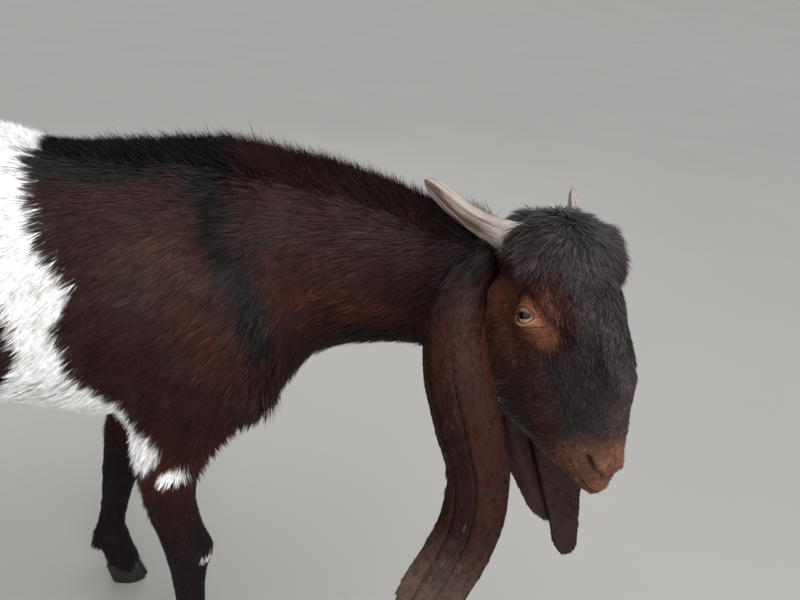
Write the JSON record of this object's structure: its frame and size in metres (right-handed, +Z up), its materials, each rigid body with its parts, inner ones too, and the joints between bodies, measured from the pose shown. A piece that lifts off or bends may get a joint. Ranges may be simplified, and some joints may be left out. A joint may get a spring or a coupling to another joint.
{
  "type": "billy goat",
  "caption": "Young billy goat with long hanging ears and short swept-back horns, standing with its head turned and lowered; a still life-size model.",
  "frame": {"origin": "middle of the model's box, on the floor between the feet", "axes": "+X forward along the body, +Y to the animal's left, +Z up"},
  "size_m": [1.1644, 0.3888, 0.7504],
  "materials": {
    "coat": "short glossy goat hair over skin, dark chestnut and black with a white belt",
    "eye": "wet, clear cornea over an amber iris with a long flat pupil",
    "horn": "dry keratin, grey-beige with brown streaks, slightly ringed",
    "hoof": "dark hoof horn, dull"
  },
  "bodies": {
    "root": {"ear_left": "coat", "ear_right": "coat", "eye_left": "eye", "eye_right": "eye", "forehoof_left_inner": "hoof", "forehoof_left_outer": "hoof", "forehoof_right_inner": "hoof", "forehoof_right_outer": "hoof", "foreleg_left_lower": "coat", "foreleg_left_upper": "coat", "foreleg_right_lower": "coat", "foreleg_right_upper": "coat", "head": "coat", "hindhoof_left_inner": "hoof", "hindhoof_left_outer": "hoof", "hindhoof_right_inner": "hoof", "hindhoof_right_outer": "hoof", "hindleg_left_lower": "coat", "hindleg_left_upper": "coat", "hindleg_right_lower": "coat", "hindleg_right_upper": "coat", "horn_left": "horn", "horn_right": "horn", "neck": "coat", "tail": "coat", "torso": "coat"}
  },
  "joints": []
}
